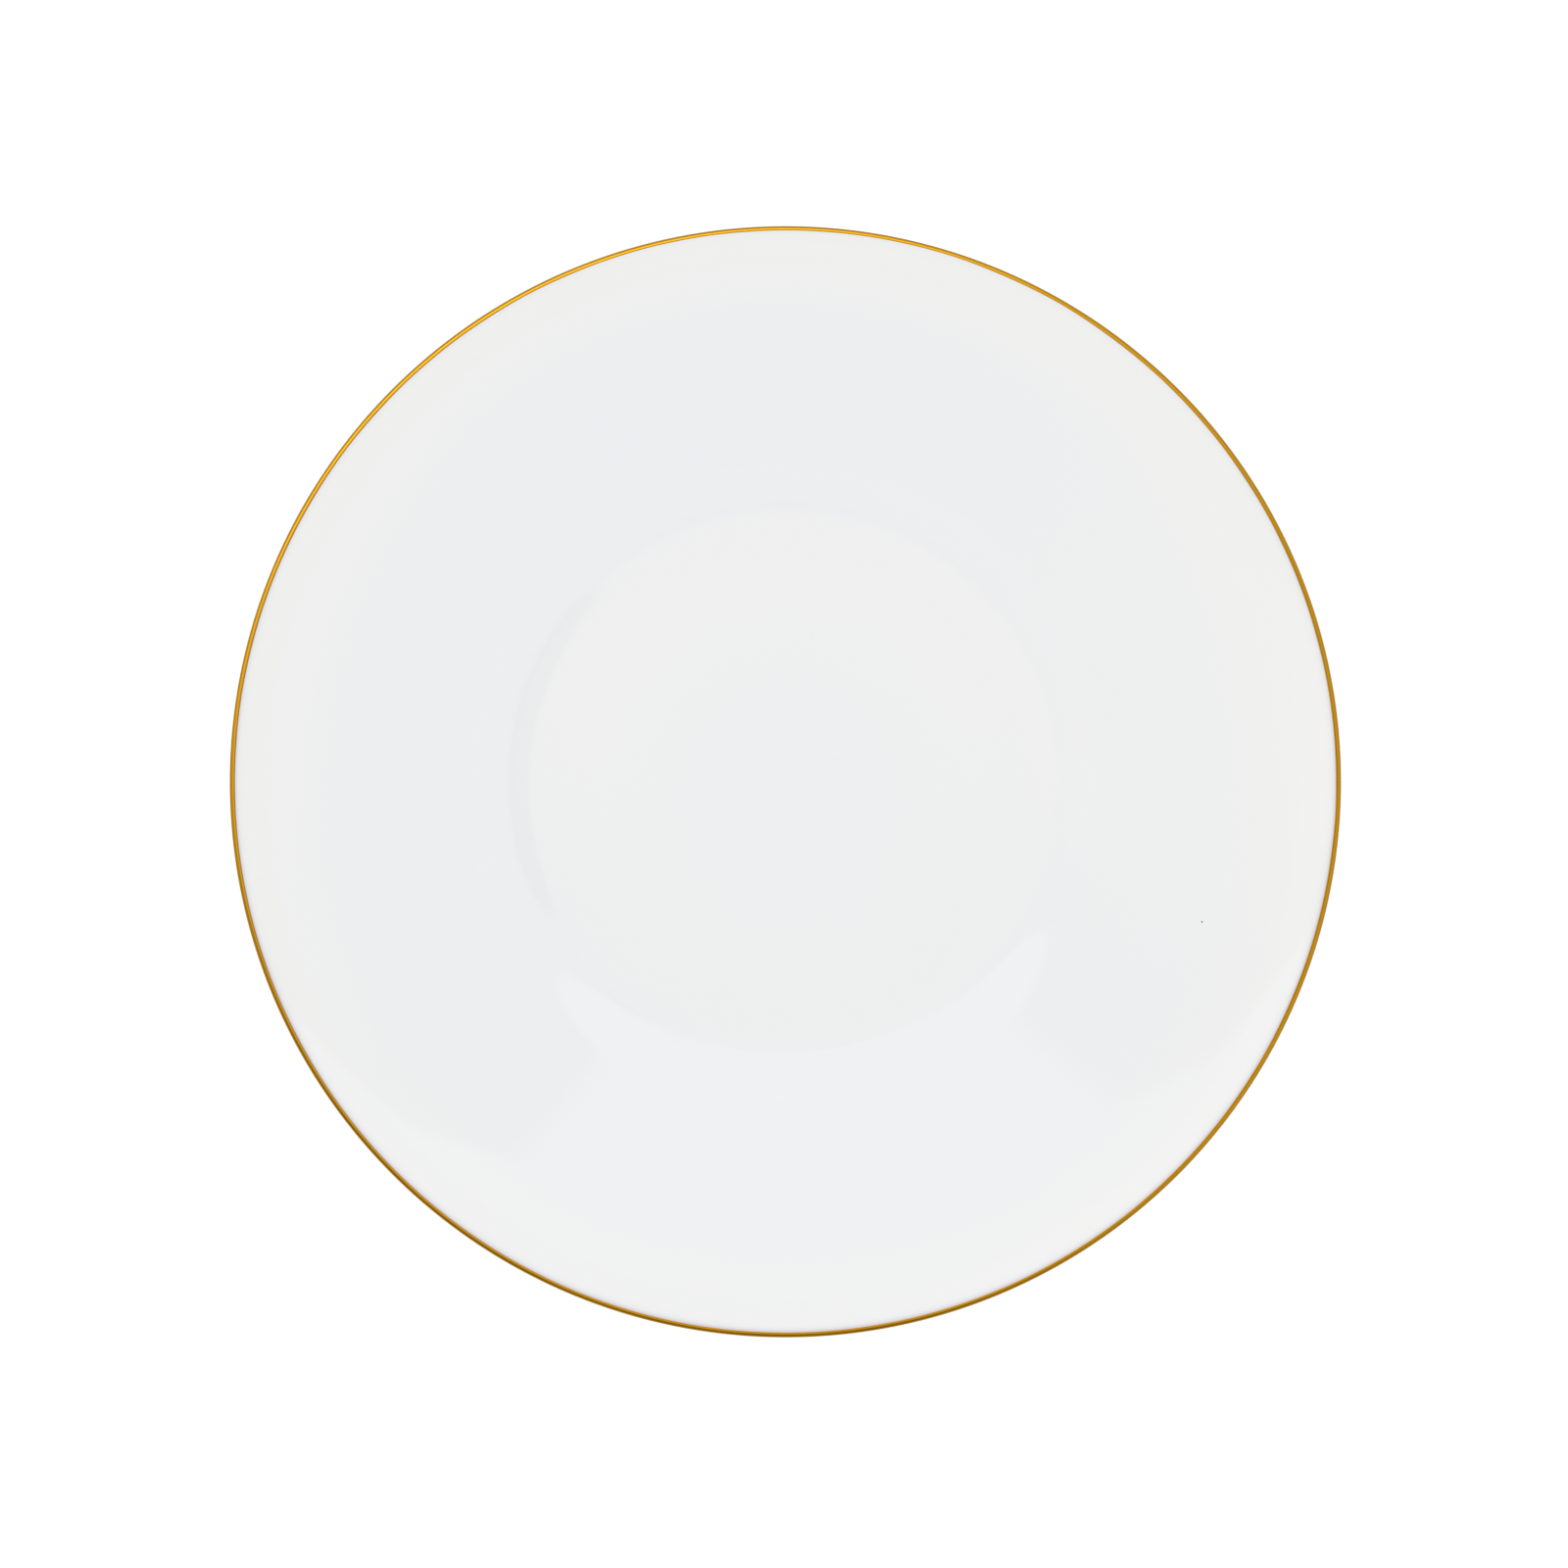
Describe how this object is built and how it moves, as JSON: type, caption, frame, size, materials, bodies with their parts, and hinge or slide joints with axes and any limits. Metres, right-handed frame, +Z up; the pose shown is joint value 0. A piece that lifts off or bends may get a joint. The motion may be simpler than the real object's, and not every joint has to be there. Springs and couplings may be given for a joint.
{
  "type": "dinner plate",
  "caption": "Round porcelain dinner plate with a flat well, a wide shallow rim, a slightly upturned rounded lip with a painted gold line, and a low unglazed foot ring.",
  "frame": {"origin": "centre of the foot ring's bearing face, on the table the plate stands on", "axes": "+Z up along the plate's axis, out of its eating face; X and Y are alike, because the plate is round"},
  "size_m": [0.27, 0.27, 0.0238],
  "materials": {
    "porcelain": "bare fired china, matt and very finely grained",
    "glaze": "glossy, slightly cool white glaze over white china",
    "gold": "bright hand-banded gold, fired on the glaze",
    "mark_ink": "fired overglaze colour, blue-grey"
  },
  "bodies": {
    "root": {"porcelain_body": "porcelain", "glaze_coat": "glaze", "foot_recess_glaze": "glaze", "gold_rim_line": "gold", "backstamp": "mark_ink"}
  },
  "joints": []
}
